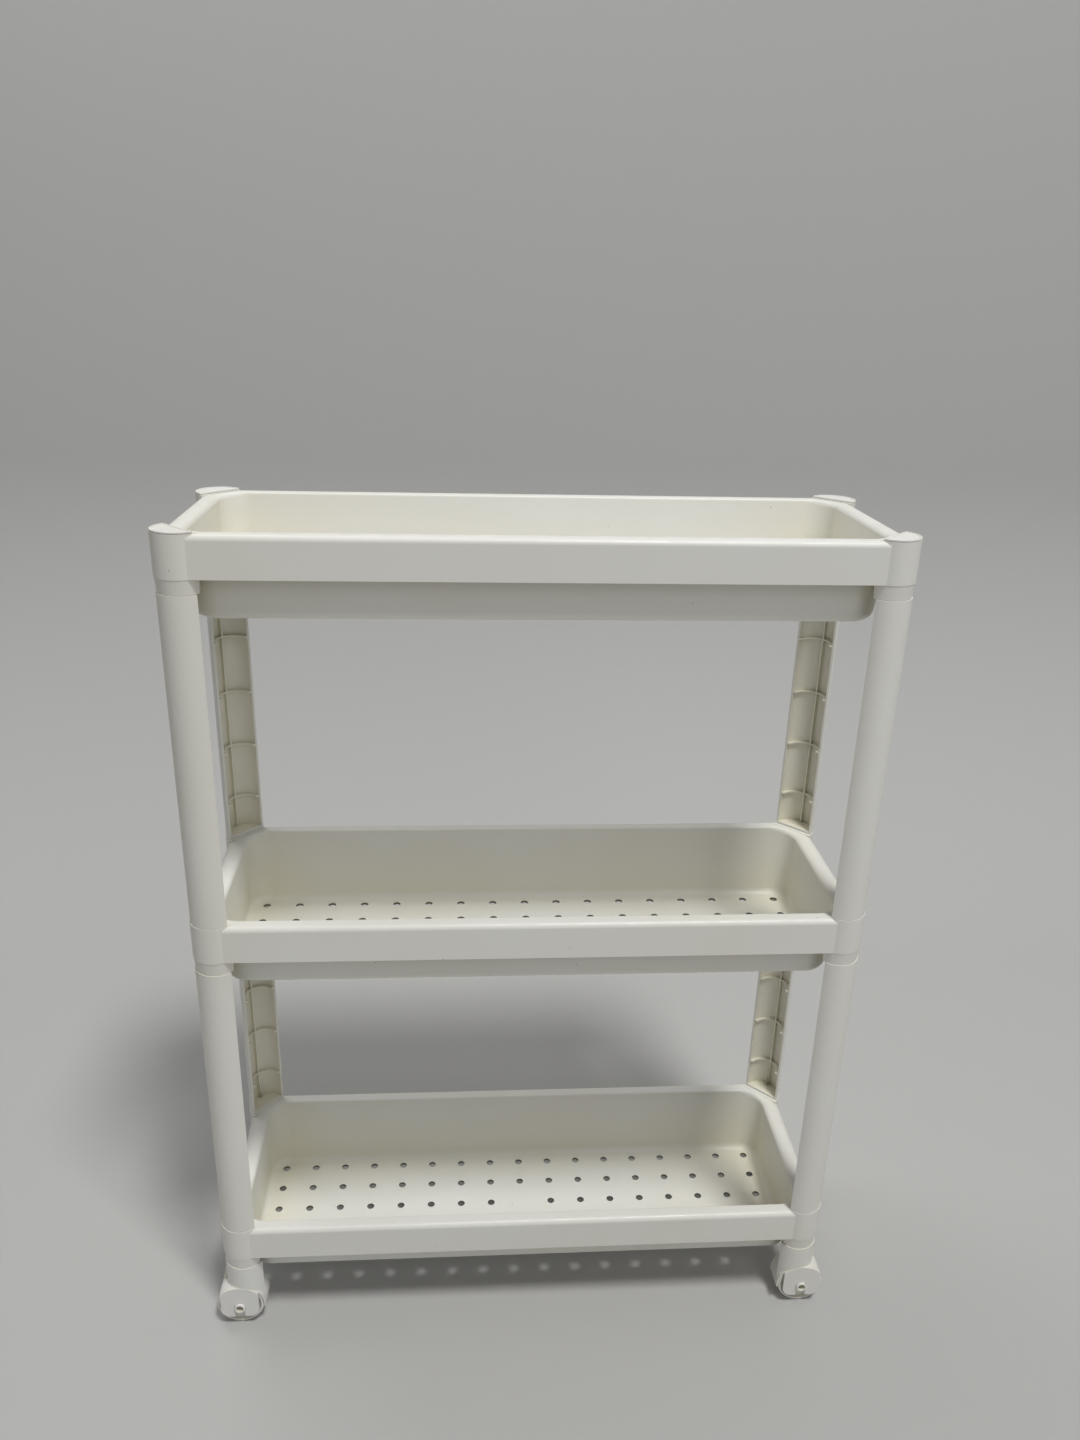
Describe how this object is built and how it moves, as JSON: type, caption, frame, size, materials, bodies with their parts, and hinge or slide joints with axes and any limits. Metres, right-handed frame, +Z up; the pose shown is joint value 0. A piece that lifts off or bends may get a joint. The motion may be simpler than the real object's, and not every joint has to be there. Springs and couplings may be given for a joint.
{
  "type": "rolling pantry cart",
  "caption": "Slim ivory plastic rolling pantry cart: open trays with drain holes on half-round plug-in legs, corner caps on top and fixed casters below.",
  "frame": {"origin": "on the floor, under the middle of the cart", "axes": "+X along the cart to the right as seen from the front, -Y towards the front, +Z up"},
  "size_m": [0.555, 0.1834, 0.7224],
  "materials": {
    "tray": "satin ivory moulded plastic",
    "leg": "satin ivory moulded plastic",
    "cap": "satin white moulded plastic",
    "housing": "satin white moulded plastic",
    "wheel": "hard white moulded plastic",
    "axle": "hard white moulded plastic"
  },
  "bodies": {
    "cart": {"bottom_tray": "tray", "middle_tray": "tray", "top_tray": "tray", "lower_leg_front_left": "leg", "lower_leg_front_right": "leg", "lower_leg_rear_left": "leg", "lower_leg_rear_right": "leg", "upper_leg_front_left": "leg", "upper_leg_front_right": "leg", "upper_leg_rear_left": "leg", "upper_leg_rear_right": "leg", "corner_cap_front_left": "cap", "corner_cap_front_right": "cap", "corner_cap_rear_left": "cap", "corner_cap_rear_right": "cap", "caster_housing_front_left": "housing", "caster_housing_front_right": "housing", "caster_housing_rear_left": "housing", "caster_housing_rear_right": "housing"},
    "front_left_wheel_set": {"wheel_front_left": "wheel", "axle_front_left": "axle"},
    "front_right_wheel_set": {"wheel_front_right": "wheel", "axle_front_right": "axle"},
    "rear_left_wheel_set": {"wheel_rear_left": "wheel", "axle_rear_left": "axle"},
    "rear_right_wheel_set": {"wheel_rear_right": "wheel", "axle_rear_right": "axle"}
  },
  "joints": [
    {"name": "front_left_roll", "type": "hinge", "parent": "cart", "child": "front_left_wheel_set", "pos_m": [-0.257, -0.0777, 0.0205], "axis": [0, 1, 0], "continuous": true},
    {"name": "front_right_roll", "type": "hinge", "parent": "cart", "child": "front_right_wheel_set", "pos_m": [0.257, -0.0777, 0.0205], "axis": [0, 1, 0], "continuous": true},
    {"name": "rear_left_roll", "type": "hinge", "parent": "cart", "child": "rear_left_wheel_set", "pos_m": [-0.257, 0.0777, 0.0205], "axis": [0, 1, 0], "continuous": true},
    {"name": "rear_right_roll", "type": "hinge", "parent": "cart", "child": "rear_right_wheel_set", "pos_m": [0.257, 0.0777, 0.0205], "axis": [0, 1, 0], "continuous": true}
  ]
}
